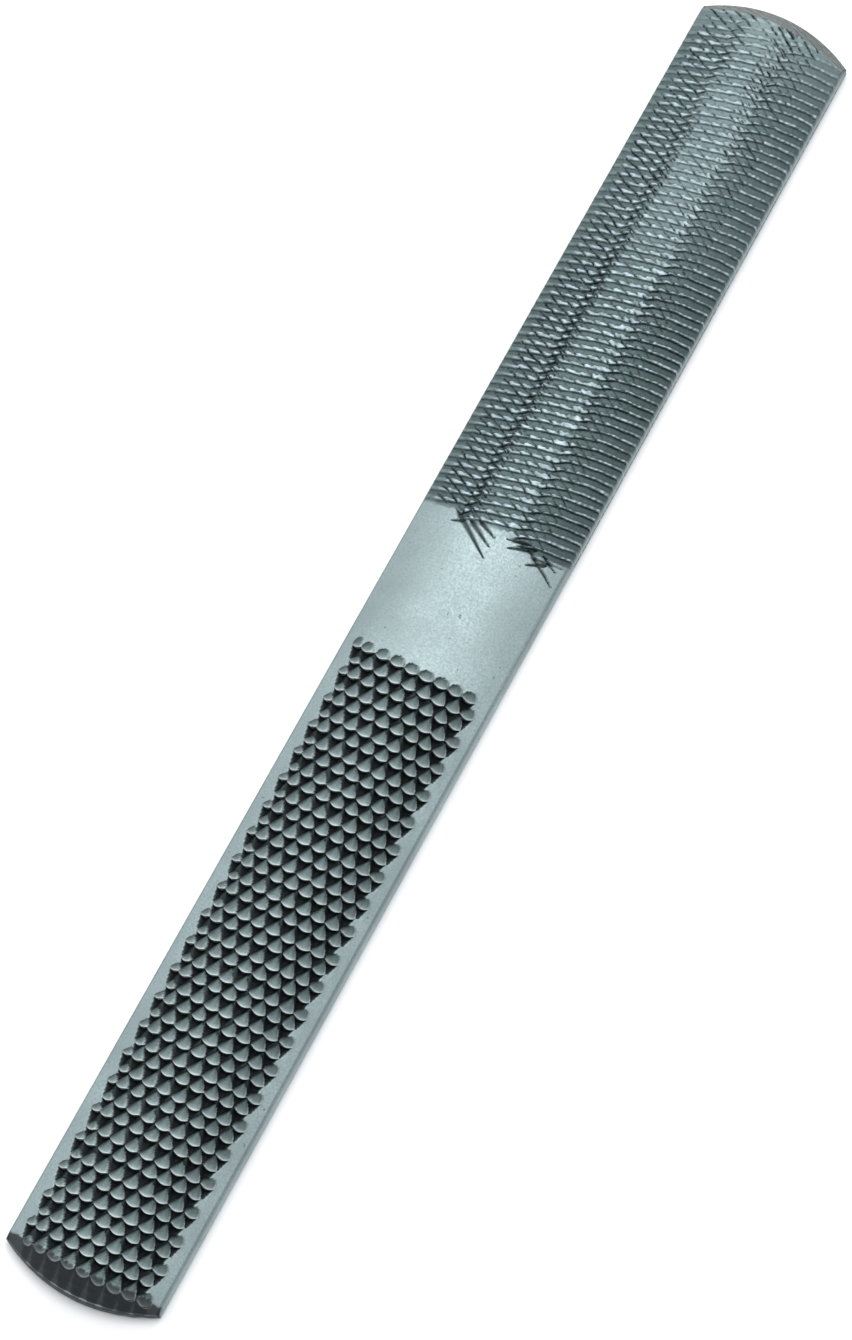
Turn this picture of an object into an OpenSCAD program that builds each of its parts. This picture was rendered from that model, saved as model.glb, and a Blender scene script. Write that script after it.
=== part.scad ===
// Four-way half-round hand rasp: a hardened steel bar with a rounded side and a flat side.
// Each side is cut as a file towards +Y and punched as a rasp towards -Y, with a plain band
// between the two. The bar lies on its flat side, with its length along Y and its crown up.
// The real tool is a single piece of steel, and its teeth are cut from the bar's own metal.
// Here the bar and each of its four toothed faces is a node, and the faces fill shallow
// fields in the bar without a gap.

/* [Bar] */
// Overall length, over the rounded ends
bar_length = 203; // [180:1:260]
// Width of the flat side
bar_width = 22; // [22:0.5:26]
// Thickness from the flat side to the crown of the rounded side
bar_thickness = 6; // [5.8:0.1:7.5]
// Height of the two narrow side edges
side_height = 2.3; // [1.6:0.1:2.5]
// How far each side edge leans in over its height
side_draft = 0.3; // [0.1:0.05:0.5]

/* [Ends] */
// How far the middle of each end stands out beyond the end's corners
end_bow = 3; // [2:0.1:4]
// Height of the upright wall left at each end, under the bevel
end_wall = 1.8; // [1.2:0.1:2.4]
// Length of the ground bevel at the file end, along the crown
file_bevel = 3.4; // [2:0.1:4]
// Length of the ground bevel at the rasp end, along the crown
rasp_bevel = 2.4; // [2:0.1:4]

/* [Plain band] */
// Distance from the file end to the plain band
band_start = 86; // [70:1:95]
// Length of the plain band
band_length = 22; // [10:1:35]

/* [Rasp teeth] */
// Spacing of the teeth along a row
rasp_pitch = 2.1; // [2:0.05:2.15]
// Spacing of the rows
rasp_row = 2.12; // [2:0.02:3]
// Teeth in a row
rasp_count = 9; // [5:1:9]
// Width of one rasp tooth
rasp_width = 1.7; // [1:0.05:2]
// How far the rasp teeth sit from the middle, towards -X
rasp_shift = 0.5; // [0:0.1:0.5]
// Height of a rasp tooth's tip above the plain band
rasp_proud = 0.5; // [0.3:0.05:0.8]
// Depth of the punched pits below the plain band
rasp_pit = 0.4; // [0.2:0.05:0.5]

/* [File teeth] */
// Spacing of the file's cuts
file_pitch = 1.3; // [1.2:0.05:1.5]
// Side by side strips that the file's cuts are made in
file_strips = 3; // [2:1:5]
// Height of a file tooth's edge above the plain band
file_proud = 0.3; // [0.15:0.05:0.5]
// Depth of the file's cuts below the plain band
file_cut = 0.25; // [0.1:0.05:0.4]

/* [Hidden] */
$fn = 240;

// The flat side hangs above the resting plane by the height of its tallest teeth.
flat_z = max(rasp_proud, file_proud);
crown_z = flat_z + bar_thickness;

// The rounded side is part of a cylinder along Y, through the crown and the side edges.
half_width = bar_width / 2;
half_top = half_width - side_draft;
dome_rise = bar_thickness - side_height;
dome_r = (half_top * half_top + dome_rise * dome_rise) / (2 * dome_rise);
dome_z = crown_z - dome_r;
degrees_per_mm = 180 / (PI * dome_r);

// Each end is part of an upright cylinder of this radius, about a centre at this distance.
end_r = (half_width * half_width + end_bow * end_bow) / (2 * end_bow);
end_y = bar_length / 2 - end_r;

// The plain band, and the round ends of the toothed fields at the bevels
band_top = bar_length / 2 - band_start;
band_bottom = band_top - band_length;
bevel_gap = 0.3;
file_end_r = end_r - file_bevel - bevel_gap;
rasp_end_r = end_r - rasp_bevel - bevel_gap;

// Widths of the fields, measured along the surface
field_margin = 0.8;
dome_file_span = 2 * (asin(half_top / dome_r) / degrees_per_mm - field_margin);
flat_file_span = 2 * (half_width - field_margin);
rasp_span = (rasp_count + 0.5) * rasp_pitch;

// The layer of metal under the roots of the teeth that belongs to each toothed face
root = 0.3;

// Where two solids are cut, the cutter passes the face by this much.
over = 1;

steel = "#9fb0b3";
file_steel = "#6d7a80";
rasp_steel = "#4d585b";

// Revolves a profile about the rounded side's axis. The profile holds [radius, y], and
// goes from one distance along the arc to another, both counted from the crown.
module around_dome(from_s, to_s) {
    translate([0, 0, dome_z])
        rotate([-90, 0, 0])
            rotate([0, 0, from_s * degrees_per_mm - 90])
                rotate_extrude(angle = (to_s - from_s) * degrees_per_mm)
                    children();
}

// Extrudes a profile across the flat side. The profile holds [depth below z, y].
module across_flat(from_x, to_x, z) {
    translate([from_x, 0, z])
        rotate([0, 90, 0])
            linear_extrude(to_x - from_x)
                children();
}

// The bar's cross-section, with x across the bar and y up
module section() {
    intersection() {
        translate([0, dome_z])
            circle(dome_r);
        polygon([
            [-half_width, flat_z],
            [half_width, flat_z],
            [half_top, flat_z + side_height],
            [half_top, crown_z + over],
            [-half_top, crown_z + over],
            [-half_top, flat_z + side_height]
        ]);
    }
}

// The upright round end of the blank with its bevel, before it is cut to the section
module round_end(bevel) {
    slope = bevel / (bar_thickness - end_wall);
    rotate_extrude()
        polygon([
            [0, 0],
            [end_r, 0],
            [end_r, flat_z + end_wall],
            [end_r - slope * (bar_thickness - end_wall + over), crown_z + over],
            [0, crown_z + over]
        ]);
}

// The blank: the section run along the bar between its two round ends
module blank() {
    intersection() {
        translate([0, bar_length / 2, 0])
            rotate([90, 0, 0])
                linear_extrude(bar_length)
                    section();
        union() {
            translate([0, end_y, 0])
                round_end(file_bevel);
            translate([0, -end_y, 0])
                round_end(rasp_bevel);
            translate([-half_width - over, -end_y, 0])
                cube([bar_width + 2 * over, 2 * end_y, crown_z + over]);
        }
    }
}

// The plan of a field on one half of the bar: from the band to a round end of radius r.
// The half is 1 towards +Y and -1 towards -Y.
module field_plan(half, band_y, r) {
    difference() {
        union() {
            translate([0, half * end_y, -over])
                cylinder(crown_z + 3 * over, r = r);
            translate([-half_width - over, -end_y, -over])
                cube([bar_width + 2 * over, 2 * end_y, crown_z + 3 * over]);
        }
        translate([-bar_width, half > 0 ? band_y - bar_length : band_y, -2 * over])
            cube([2 * bar_width, bar_length, crown_z + 5 * over]);
    }
}

// A field on the rounded side, from one radius to another, and one on the flat side,
// from one height to another
module round_field(half, band_y, r, from_s, to_s, from_r, to_r) {
    intersection() {
        field_plan(half, band_y, r);
        around_dome(from_s, to_s)
            translate([from_r, -bar_length])
                square([to_r - from_r, 2 * bar_length]);
    }
}

module flat_field(half, band_y, r, from_x, to_x, from_z, to_z) {
    intersection() {
        field_plan(half, band_y, r);
        translate([from_x, -bar_length, from_z])
            cube([to_x - from_x, 2 * bar_length, to_z - from_z]);
    }
}

// The four fields, each given by how far it reaches from the bar's surface: inwards to
// its floor, and outwards to its top
module round_file_field(inwards, outwards) {
    round_field(1, band_top, file_end_r, -dome_file_span / 2, dome_file_span / 2,
        dome_r - inwards, dome_r + outwards);
}

module round_rasp_field(inwards, outwards) {
    round_field(-1, band_bottom, rasp_end_r, -rasp_span / 2 - rasp_shift,
        rasp_span / 2 - rasp_shift, dome_r - inwards, dome_r + outwards);
}

module flat_file_field(inwards, outwards) {
    flat_field(1, band_top, file_end_r, -flat_file_span / 2, flat_file_span / 2,
        flat_z - outwards, flat_z + inwards);
}

module flat_rasp_field(inwards, outwards) {
    flat_field(-1, band_bottom, rasp_end_r, -rasp_span / 2 - rasp_shift,
        rasp_span / 2 - rasp_shift, flat_z - outwards, flat_z + inwards);
}

// The bar itself, sunk under the four fields to take the toothed faces
module bar() {
    color(steel)
        difference() {
            blank();
            round_file_field(file_cut + root, over);
            round_rasp_field(rasp_pit + root, over);
            flat_file_field(file_cut + root, over);
            flat_rasp_field(rasp_pit + root, over);
        }
}

// One tooth seen from the side, as [height above the roots, distance towards -Y], with its
// foot in the root layer. Its back rises to the cutting edge, and its steep face looks
// towards -Y.
function tooth(height, length) = [
    [-root / 3, 0],
    [0, 0],
    [0.62 * height, 0.45 * length],
    [height, 0.86 * length],
    [0, 0.96 * length],
    [-root / 3, 0.96 * length]
];

// A line of teeth that start at the given places along the bar, on a spine in the root layer
function comb(starts, height, length) = concat(
    [[-2 * root / 3, starts[0]]],
    [for (y = starts, p = tooth(height, length)) [p[0], y - p[1]]],
    [[-2 * root / 3, starts[len(starts) - 1] - 0.96 * length]]
);

// A profile moved from the roots out to a radius
function moved_out(profile, radius) = [for (p = profile) [p[0] + radius, p[1]]];

// Is a tooth that reaches from x1 to x2 across the bar inside a round end of radius r?
// Its place along the bar is y.
function inside_end(x1, x2, y, r) =
    norm([max(abs(x1), abs(x2)), max(0, abs(y) - end_y)]) < r;

// Where a place on the rounded side, at s along the arc, lies across the bar
function dome_x(s) = dome_r * sin(s * degrees_per_mm);

// File teeth run across each strip, and the strips are staggered by part of a pitch.
strip_gap = 0.25;
file_rows = floor((end_y + file_end_r - band_top) / file_pitch) - 1;
function file_starts(strip, x1, x2) = [
    for (row = [0 : file_rows - 1])
        let (y = end_y + file_end_r - (row + strip / file_strips) * file_pitch)
            if (inside_end(x1, x2, y, file_end_r)) y
];
function strip_from(strip, span) = -span / 2 + strip * span / file_strips + strip_gap / 2;
function strip_to(strip, span) = strip_from(strip + 1, span) - strip_gap;

module round_file_teeth() {
    color(file_steel) {
        round_file_field(file_cut + root, -file_cut);
        for (strip = [0 : file_strips - 1]) {
            from_s = strip_from(strip, dome_file_span);
            to_s = strip_to(strip, dome_file_span);
            starts = file_starts(strip, dome_x(from_s), dome_x(to_s));
            teeth = comb(starts, file_cut + file_proud, file_pitch);
            around_dome(from_s, to_s)
                polygon(moved_out(teeth, dome_r - file_cut));
        }
    }
}

module flat_file_teeth() {
    color(file_steel) {
        flat_file_field(file_cut + root, -file_cut);
        for (strip = [0 : file_strips - 1]) {
            from_x = strip_from(strip, flat_file_span);
            to_x = strip_to(strip, flat_file_span);
            teeth = comb(file_starts(strip, from_x, to_x), file_cut + file_proud, file_pitch);
            across_flat(from_x, to_x, flat_z + file_cut)
                polygon(teeth);
        }
    }
}

// Rasp teeth stand in rows across the bar, and every other row is moved by half a pitch.
first_row_gap = 0.2;
rasp_rows = floor((band_bottom - first_row_gap + end_y + rasp_end_r) / rasp_row);
rasp_tooth = tooth(rasp_pit + rasp_proud, rasp_row);
function rasp_y(row) = band_bottom - first_row_gap - row * rasp_row;
function rasp_from(row, i) =
    (i + 0.5 + (row % 2) / 2) * rasp_pitch - rasp_span / 2 - rasp_shift - rasp_width / 2;

// A tooth's profile set at its place along the bar
function placed(profile, y) = [for (p = profile) [p[0], y - p[1]]];

module round_rasp_teeth() {
    color(rasp_steel) {
        round_rasp_field(rasp_pit + root, -rasp_pit);
        for (row = [0 : rasp_rows - 1], i = [0 : rasp_count - 1]) {
            y = rasp_y(row);
            from_s = rasp_from(row, i);
            to_s = from_s + rasp_width;
            if (inside_end(dome_x(from_s), dome_x(to_s), y - rasp_row, rasp_end_r))
                around_dome(from_s, to_s)
                    polygon(moved_out(placed(rasp_tooth, y), dome_r - rasp_pit));
        }
    }
}

module flat_rasp_teeth() {
    color(rasp_steel) {
        flat_rasp_field(rasp_pit + root, -rasp_pit);
        for (row = [0 : rasp_rows - 1], i = [0 : rasp_count - 1]) {
            y = rasp_y(row);
            from_x = rasp_from(row, i);
            to_x = from_x + rasp_width;
            if (inside_end(from_x, to_x, y - rasp_row, rasp_end_r))
                across_flat(from_x, to_x, flat_z + rasp_pit)
                    polygon(placed(rasp_tooth, y));
        }
    }
}

bar();
round_file_teeth();
round_rasp_teeth();
flat_file_teeth();
flat_rasp_teeth();
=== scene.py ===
"""Four-way half-round hand rasp: a steel bar and its four toothed faces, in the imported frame.

Lengths are in millimetres until a mesh is made. Y runs along the bar, towards the file end,
and Z points out of the crown. On the rounded side a place is given by s, the distance along
the arc from the crown, and y. A relief is a height above the plain surface.
"""

import math
from collections import namedtuple

import bmesh
import bpy
import numpy as np
from mathutils import Matrix, Vector


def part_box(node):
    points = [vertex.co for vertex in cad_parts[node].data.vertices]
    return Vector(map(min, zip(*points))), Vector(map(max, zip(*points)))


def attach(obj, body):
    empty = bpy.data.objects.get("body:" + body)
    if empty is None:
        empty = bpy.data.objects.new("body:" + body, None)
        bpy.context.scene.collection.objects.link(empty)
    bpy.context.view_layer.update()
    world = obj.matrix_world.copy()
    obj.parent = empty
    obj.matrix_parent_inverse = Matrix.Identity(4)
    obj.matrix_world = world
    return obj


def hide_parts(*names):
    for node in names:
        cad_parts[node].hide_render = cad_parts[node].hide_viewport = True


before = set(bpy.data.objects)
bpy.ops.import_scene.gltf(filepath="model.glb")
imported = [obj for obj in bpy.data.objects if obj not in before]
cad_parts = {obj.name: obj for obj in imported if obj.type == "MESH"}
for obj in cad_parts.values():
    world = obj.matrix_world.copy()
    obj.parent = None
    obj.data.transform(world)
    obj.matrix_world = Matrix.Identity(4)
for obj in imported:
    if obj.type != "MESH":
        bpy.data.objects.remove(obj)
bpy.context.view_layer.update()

MM = 0.001

# ---------------------------------------------------------------- sizes from the frame
bar_low, bar_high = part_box("bar")
HALF_LENGTH = bar_high.y / MM
HALF_WIDTH = bar_high.x / MM
FLAT_Z = bar_low.z / MM
CROWN_Z = bar_high.z / MM
BAND_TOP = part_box("round_file_teeth")[0].y / MM
BAND_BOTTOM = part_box("round_rasp_teeth")[1].y / MM

# The rounded side is an arc through the crown and the tops of the two side edges.
SIDE_HEIGHT = 2.3
SIDE_DRAFT = 0.3
CORNER_Z = FLAT_Z + SIDE_HEIGHT
CORNER_X = HALF_WIDTH - SIDE_DRAFT
DOME_RISE = CROWN_Z - CORNER_Z
DOME_R = (CORNER_X ** 2 + DOME_RISE ** 2) / (2 * DOME_RISE)
DOME_Z = CROWN_Z - DOME_R
HALF_ARC = DOME_R * math.asin(CORNER_X / DOME_R)

# Each end is part of an upright cylinder, and its bevel runs up to the rounded side.
END_BOW = 3.0
END_R = (HALF_WIDTH ** 2 + END_BOW ** 2) / (2 * END_BOW)
END_CENTRE = HALF_LENGTH - END_R
WALL_HEIGHT = 1.8
WALL_DROP = 0.9
FILE_BEVEL = 3.4
RASP_BEVEL = 2.4

# The bar is parted into a core, two rounded toothed faces above CUT_HIGH and two flat ones
# below CUT_LOW. The faces run this far into the plain band, past their last cuts.
CUT_HIGH = FLAT_Z + 0.75
CUT_LOW = FLAT_Z + 0.55
FILE_SEAM = BAND_TOP - 6.9
RASP_SEAM = BAND_BOTTOM + 1.5

# The rounded faces are shells of this thickness over a core that fills this much of the arc.
SHELL = 1.1
CORE_HALF_ARC = 9.0
CORE_FACETS = 24
# The core's raised back starts this far past each seam, and ends here.
RIDGE_INSET = 1.0
CORE_END = HALF_LENGTH - 5.5

# Points across the back of the plain band
BACK_POINTS = 97

# The long edges have a small chamfer.
CHAMFER = 0.14
CHAMFER_WIDTH = 1.3 * CHAMFER


def side_x(z):
    """Where the side edge is at height z, on the +X side."""
    return HALF_WIDTH - SIDE_DRAFT * np.clip((z - FLAT_Z) / SIDE_HEIGHT, 0, 1)


def end_arc(x):
    """How far from the middle the bar's end is at x."""
    return END_CENTRE + np.sqrt(END_R ** 2 - np.minimum(np.abs(x), HALF_WIDTH) ** 2)


def bevel_height(x, y, bevel):
    """Height of an end's bevel at x, y."""
    inside = END_R - np.hypot(x, np.maximum(np.abs(y) - END_CENTRE, 0))
    wall = FLAT_Z + WALL_HEIGHT - WALL_DROP * (x / HALF_WIDTH) ** 2
    return wall + np.maximum(inside, 0) * (CROWN_Z - FLAT_Z - WALL_HEIGHT) / bevel


# ---------------------------------------------------------------- numbers without a pattern
def scatter(*keys):
    """A fixed number from -1 to 1 for each combination of keys, with no pattern to the eye."""
    total = 0.0
    for k, key in enumerate(keys):
        total = total + np.asarray(key, float) * (12.9898 + 65.2331 * k)
    wave = np.sin(total + 4.1) * 43758.5453
    return 2 * (wave - np.floor(wave)) - 1


def ripple(s, y, size, seed):
    """A smooth wobble from about -1 to 1: four waves about size long, that run in different
    directions and don't line up."""
    total = 0.0
    for k in range(4):
        turn = 2.4 * k + seed
        along = (s * math.cos(turn) + y * math.sin(turn)) * (2 * math.pi / size)
        total = total + np.sin(along * (0.8 + 0.17 * k) + 5.3 * k + seed)
    return total / 2.6


def smooth(low, high, value):
    """0 below low, 1 above high and a smooth step between."""
    t = np.clip((value - low) / (high - low), 0, 1)
    return t * t * (3 - 2 * t)


def window(low, high, soft, value):
    """1 from low to high, falling to 0 over soft on both sides."""
    return smooth(low - soft, low, value) * (1 - smooth(high, high + soft, value))


# ---------------------------------------------------------------- rasp teeth
# One punched tooth: the place of its middle across the bar, how far its edge stands back, its
# half width, length and height, and how far its point leans towards +X.
Tooth = namedtuple("Tooth", "middle back half long tall lean")


class RaspField:
    """Rows of punched teeth between the band and the rasp end.

    Behind each row's cutting edge, towards +Y, its petals rise; in front of it lie its pits,
    which the petals of the next row stand between. Odd rows are shifted by half a pitch.
    """

    FIRST_ROW = -9.3
    PERIOD = 4.167
    SHORT_GAP = 1.9
    ROWS = 44
    TEETH = 9
    # Pitch of the teeth and place of the middle tooth, in an even row and in an odd one
    PITCH = (2.10, 2.13)
    MIDDLE = (-0.22, 0.5)
    # How far the first teeth of an even row stand back towards -X
    CROWDED = (0.22, 0.57, 0.25, 0.05)
    SAG = 0.9
    SAG_MIDDLE = 0.8
    SAG_HALF_WIDTH = 9.8
    EDGE_BOW = 0.46
    # Half the width of a tooth in an even row and in an odd one
    HALF_TOOTH = (0.97 * 1.03, 1.03)
    LENGTH = 2.28
    TALL = 0.49
    LEAN = 0.04
    # The first tooth in a row is struck lightly: shares of the usual width, length and height
    LIGHT_HALF = 0.84
    LIGHT_LENGTH = 0.62
    LIGHT_TALL = 0.75
    # A tooth with no other behind it stays round.
    ROUND_LENGTH = 1.65
    ROUND_LEAN = 0.12
    PIT = 0.44
    PIT_LENGTH = 2.55
    # No tooth stands higher than this.
    HIGHEST = 0.475
    # The ground between the teeth is beaten down at least this far.
    BEATEN = 0.12
    # A relief this far from the plain surface counts as worked all over, and a petal's edge is
    # where it is this high.
    WORKED = 0.05
    PETAL_EDGE = 0.004
    # Mesh lines above the first row and below the last one
    LINES_ABOVE = 16
    LINES_BELOW = 22

    def __init__(self, seed, sag, steps):
        """steps is the number of mesh lines in each row."""
        self.seed = seed
        self.sag = sag
        self.steps = steps

    def row_y(self, row):
        """Where a row's cutting edge is, halfway down its sag."""
        odd = row % 2
        long_gap = self.PERIOD - self.SHORT_GAP
        y = self.FIRST_ROW - (row // 2) * self.PERIOD - odd * long_gap
        return y + 0.05 * float(scatter(row, self.seed))

    def stray(self, amount, row, i, kind):
        """A number from -amount to amount, for one kind of difference between the teeth."""
        return amount * float(scatter(row, i, self.seed + kind))

    def teeth(self, row):
        """The teeth in a row, from -X to +X, each struck a little differently."""
        out = []
        odd = row % 2
        shift = 0.06 * float(scatter(row, self.seed, 1))
        for i in range(self.TEETH):
            middle = (i - (self.TEETH - 1) / 2) * self.PITCH[odd] + self.MIDDLE[odd]
            if not odd and i < len(self.CROWDED):
                middle -= self.CROWDED[i]
            middle += shift + self.stray(0.05, row, i, 2)
            back = self.stray(0.05, row, i, 3)
            half = self.HALF_TOOTH[odd] * (1 + self.stray(0.05, row, i, 4))
            tall = self.TALL * (1 + self.stray(0.06, row, i, 5))
            lean = self.LEAN + self.stray(0.15, row, i, 6)
            long = self.LENGTH * (1 + self.stray(0.05, row, i, 7))
            if i == 0:
                half *= self.LIGHT_HALF
                long *= self.LIGHT_LENGTH
                tall *= self.LIGHT_TALL
            out.append(Tooth(middle, back, half, long, tall, lean))
        return out

    def edge(self, row, s):
        """The row's cutting edge as a curve y(s): one shallow arc for each tooth."""
        dip = np.full_like(s, self.EDGE_BOW * 1.25)
        for tooth in self.teeth(row):
            bow = self.EDGE_BOW * ((s - tooth.middle) / tooth.half) ** 2
            dip = np.minimum(dip, tooth.back + bow)
        off_middle = (s - self.SAG_MIDDLE) / self.SAG_HALF_WIDTH
        middle_sag = -self.sag * np.maximum(0, 1 - off_middle ** 2)
        return self.row_y(row) + self.sag * 0.5 + middle_sag + dip

    def petals(self, row, s, behind):
        """Height of the row's petals at a distance behind its cutting edge, their painted
        highlight on the edges and right flanks, and their painted shade towards the points and
        on the left."""
        relief = np.zeros_like(s)
        shine = np.zeros_like(s)
        shade = np.zeros_like(s)
        last = self.TEETH - 1
        for i, tooth in enumerate(self.teeth(row)):
            # Nothing is punched above the first row, nor beside an odd row's last tooth, so
            # those teeth stay round. The others narrow to a point.
            round_tooth = row == 0 or (row % 2 and i == last)
            if round_tooth:
                t = np.clip(behind / self.ROUND_LENGTH, 0, 1)
                long = self.ROUND_LENGTH
                lean = 0.0 if row == 0 else self.ROUND_LEAN
                narrowing = np.maximum(1 - t ** 2.0, 0) ** 0.5
                spine = tooth.tall * np.sqrt(1 - t ** 2)
            else:
                t = np.clip(behind / tooth.long, 0, 1)
                long = tooth.long
                lean = tooth.lean
                narrowing = np.maximum(1 - t ** 1.45, 0) ** 0.86
                spine = tooth.tall * (1 - 0.22 * t - 0.50 * t ** 2)
            across = s - tooth.middle - lean * t
            wide = tooth.half * narrowing + 1e-6
            u = np.abs(across) / wide
            # Broad at the cutting edge, where the corners stand nearly as high as the middle,
            # and rounder towards the point.
            body = np.where(u < 1, spine * np.maximum(1 - u ** (3.6 - 1.6 * t), 0) ** 0.45, 0)
            body = np.where(behind < long, body, 0)
            # The edge's own lip turns up a little.
            body = body * (1 + 0.10 * np.exp(-behind / 0.16))
            # Painted highlights: a thin line along the cutting edge's lip, and one on the right
            # flank.
            lip = 0.85 * np.exp(-behind / 0.13) + 0.30 * np.exp(-behind / 0.6)
            lip = lip * (1 - smooth(0.88, 1.0, u))
            flank = 0.85 * window(0.80, 0.95, 0.08, np.where(across > 0, u, 0))
            flank = flank * (1 - smooth(0.75, 0.97, t))
            # Painted shade: darker towards the point and on the left side.
            scale = 0.48 * t ** 0.7 + 0.48 * smooth(-0.1, 0.9, -across / wide)
            shine = np.where(body > relief, np.maximum(lip, flank), shine)
            shade = np.where(body > relief, scale, shade)
            relief = np.maximum(relief, body)
        return np.minimum(relief, self.HIGHEST), shine, shade

    def pits(self, row, s, ahead):
        """Depth, below zero, of the row's pits at a distance in front of its cutting edge."""
        relief = np.zeros_like(s)
        last = self.TEETH - 1
        t = np.clip(ahead / self.PIT_LENGTH, 0, 1)
        for i, tooth in enumerate(self.teeth(row)):
            # Beside another tooth a pit fills the whole gap. Its outer wall slants inwards.
            broad = 1.15 * tooth.half * (1 - t) ** 0.35 + 1e-6
            narrow = 1.02 * tooth.half * (1 - t) ** 0.85 + 1e-6
            across = s - tooth.middle + 0.5 * tooth.lean * t
            outside = (i == 0) & (across < 0) | (i == last) & (across > 0)
            u = np.abs(across) / np.where(outside, narrow, broad)
            deep = self.PIT * (1 - t) ** 0.8
            body = np.where(u < 1, -deep * (1 - u ** 1.8), 0)
            body = np.where(ahead < self.PIT_LENGTH, body, 0)
            relief = np.minimum(relief, body)
        return relief

    def between_outer_teeth(self, row, s):
        """1 between the middles of the row's first and last teeth, 0 outside them."""
        teeth = self.teeth(row)
        return window(teeth[0].middle, teeth[-1].middle, 0.4, s)

    def relief_between(self, row, s, y):
        """The relief behind row's edge and in front of the edge of the row above it, its painted
        highlight and painted shade, and whether the surface is worked at all."""
        behind = np.maximum(y - self.edge(row, s), 0)
        petals, shine, shade = self.petals(row, s, behind)
        pits = np.zeros_like(s)
        if row > 0:
            ahead = np.maximum(self.edge(row - 1, s) - y, 0)
            beaten = self.between_outer_teeth(row, s) * self.between_outer_teeth(row - 1, s)
            pits = np.minimum(self.pits(row - 1, s, ahead), -self.BEATEN * beaten)
        on_petal = petals > self.PETAL_EDGE
        relief = np.where(on_petal, petals + 0.5 * pits, pits)
        # Painted shade: on the petals towards their points and left sides, and in the pits.
        dark = np.where(on_petal, shade, self.grime(pits))
        worked = np.clip(np.maximum(petals, -pits) / self.WORKED, 0, 1)
        return relief, shine, dark, worked

    def grime(self, pits):
        """The painted shade in the pits: darkest where they are deep."""
        return smooth(0.0, 0.09, -pits) * (0.86 + 0.14 * smooth(0.1, 0.3, -pits))

    def relief_below(self, s, y):
        """The same in front of the last row."""
        ahead = np.maximum(self.edge(self.ROWS - 1, s) - y, 0)
        pits = self.pits(self.ROWS - 1, s, ahead)
        return pits, np.zeros_like(s), self.grime(pits), np.clip(-pits / self.WORKED, 0, 1)

    def lines(self, s, x, start):
        """The mesh lines across the field, from the seam at y = start to the bar's end, as
        lists of (y, relief, shine, dark, worked) arrays."""
        out = []
        top = self.edge(0, s)
        for t in np.linspace(0, 1, self.LINES_ABOVE, endpoint=False) ** 0.75:
            y = start + (top - start) * t
            out.append((y,) + self.relief_between(0, s, y))
        out.append((top,) + self.relief_between(0, s, top))
        for row in range(1, self.ROWS):
            high = self.edge(row - 1, s)
            low = self.edge(row, s)
            for t in spread(self.steps):
                y = high + (low - high) * t
                out.append((y,) + self.relief_between(row, s, y))
        low = self.edge(self.ROWS - 1, s)
        end = -end_arc(x)
        just_past = 0.018
        for t in np.linspace(0, 1, self.LINES_BELOW) ** 1.15:
            y = low - just_past + (end - low + just_past) * t
            out.append((y,) + self.relief_below(s, y))
        return out


def spread(steps):
    """Places from one cutting edge to the next: just past the first, closer near both."""
    inner = np.linspace(0, 1, steps - 1)
    inner = inner + 0.05 * np.sin(2 * math.pi * inner)
    return np.concatenate([[0.009], 0.05 + 0.95 * inner])


# ---------------------------------------------------------------- file teeth
# A strip along the bar, from s = low to high and blended over soft, and what the long cuts are
# like in it: their depth, the width of the lands between them in steps, the strength of the
# lands' painted highlight and of the cuts' painted shade.
Strip = namedtuple("Strip", "low high soft depth land light grime")
# A set of crossing cuts, from s = low to high: the slope of its lines, where they start and how
# far apart they are, their depth, their width as a share of the spacing, and how much of the
# depth is lost towards the far end (below 0, they deepen).
Crossing = namedtuple("Crossing", "low high soft slope phase spacing depth width fades")
# One stray cut past the end of the field, from its root (s, y) to its tip.
Needle = namedtuple("Needle", "root tip width")


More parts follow.
